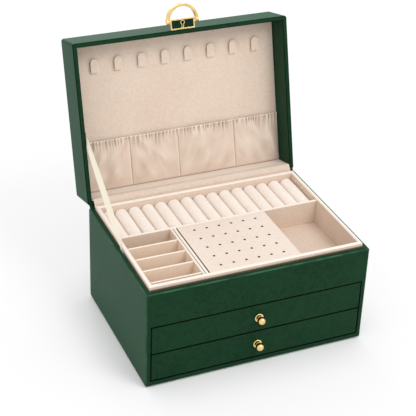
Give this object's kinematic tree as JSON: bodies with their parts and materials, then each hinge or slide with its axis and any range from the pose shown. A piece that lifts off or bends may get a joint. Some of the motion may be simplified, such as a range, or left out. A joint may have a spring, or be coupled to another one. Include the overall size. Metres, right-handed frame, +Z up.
{
  "type": "jewellery organizer",
  "caption": "Leather-wrapped jewellery box with a hinged lid, a suede tray with ring rolls, slots and a lift-out stud panel, and pull-out drawers below.",
  "frame": {"origin": "centre of the underside, on the surface that the box stands on", "axes": "+Z up, the drawers face -Y, +X to the right as seen from the front"},
  "size_m": [0.25, 0.2753, 0.3169],
  "materials": {
    "green_leather": "fine grain satin",
    "suede_lining": "suede",
    "pocket_cloth": "soft suede cloth",
    "ribbon": "woven satin",
    "felt": "felt",
    "gilt": "polished",
    "clasp_inlay": "fine grain satin",
    "board": "plain"
  },
  "bodies": {
    "case": {"base_felt": "felt", "case_back": "green_leather", "case_bottom": "green_leather", "case_left": "green_leather", "case_right": "green_leather", "drawer_shelf": "board", "front_apron": "green_leather", "hinge_case_leaves": "gilt", "hinge_case_screws": "gilt", "hinge_pins": "gilt", "ring_rail": "suede_lining", "ring_rolls": "suede_lining", "slot_divider_1": "suede_lining", "slot_divider_2": "suede_lining", "slot_divider_3": "suede_lining", "slot_divider_4": "suede_lining", "slot_wall": "suede_lining", "stay_ribbon": "ribbon", "stud_wall_left": "suede_lining", "stud_wall_right": "suede_lining", "tray_back_wall": "suede_lining", "tray_deck": "board", "tray_floor": "suede_lining", "tray_front_wall": "suede_lining", "tray_left_wall": "suede_lining", "tray_right_wall": "suede_lining"},
    "lid": {"lid_top": "green_leather", "lid_left": "green_leather", "lid_right": "green_leather", "lid_front": "green_leather", "lid_back": "green_leather", "lid_panel": "suede_lining", "lid_back_liner": "suede_lining", "necklace_hooks": "suede_lining", "pocket": "pocket_cloth", "pocket_elastic": "pocket_cloth", "hinge_lid_leaves": "gilt", "hinge_lid_screws": "gilt", "clasp_bracket": "gilt", "clasp_pin": "gilt"},
    "clasp": {"clasp_plate": "gilt", "clasp_inlay": "clasp_inlay"},
    "pull_ring": {"pull_ring": "gilt"},
    "stud_panel": {"stud_panel": "suede_lining"},
    "upper_drawer": {"upper_drawer_back": "suede_lining", "upper_drawer_bottom": "suede_lining", "upper_drawer_front": "green_leather", "upper_drawer_left": "suede_lining", "upper_drawer_lining": "suede_lining", "upper_drawer_right": "suede_lining", "upper_knob": "gilt", "upper_knob_screw": "gilt"},
    "lower_drawer": {"lower_drawer_back": "suede_lining", "lower_drawer_bottom": "suede_lining", "lower_drawer_front": "green_leather", "lower_drawer_left": "suede_lining", "lower_drawer_lining": "suede_lining", "lower_drawer_right": "suede_lining", "lower_knob": "gilt", "lower_knob_screw": "gilt"}
  },
  "joints": [
    {"name": "lid_hinge", "type": "hinge", "parent": "case", "child": "lid", "pos_m": [0, 0.09028, 0.1152], "axis": [-1, 0, 0], "range_deg": [-104.5, 0], "deforming": ["stay_ribbon"]},
    {"name": "clasp_hinge", "type": "hinge", "parent": "lid", "child": "clasp", "pos_m": [0, 0.13763, 0.28989], "axis": [-1, 0, 0], "range_deg": [0, 88]},
    {"name": "ring_hinge", "type": "hinge", "parent": "clasp", "child": "pull_ring", "pos_m": [0, 0.13782, 0.29862], "axis": [1, 0, 0], "range_deg": [0, 90]},
    {"name": "stud_panel_lift", "type": "slide", "parent": "case", "child": "stud_panel", "axis": [0, 0, 1], "range_m": [0, 0.06]},
    {"name": "upper_drawer_slide", "type": "slide", "parent": "case", "child": "upper_drawer", "axis": [0, -1, 0], "range_m": [0, 0.115]},
    {"name": "lower_drawer_slide", "type": "slide", "parent": "case", "child": "lower_drawer", "axis": [0, -1, 0], "range_m": [0, 0.115]}
  ]
}
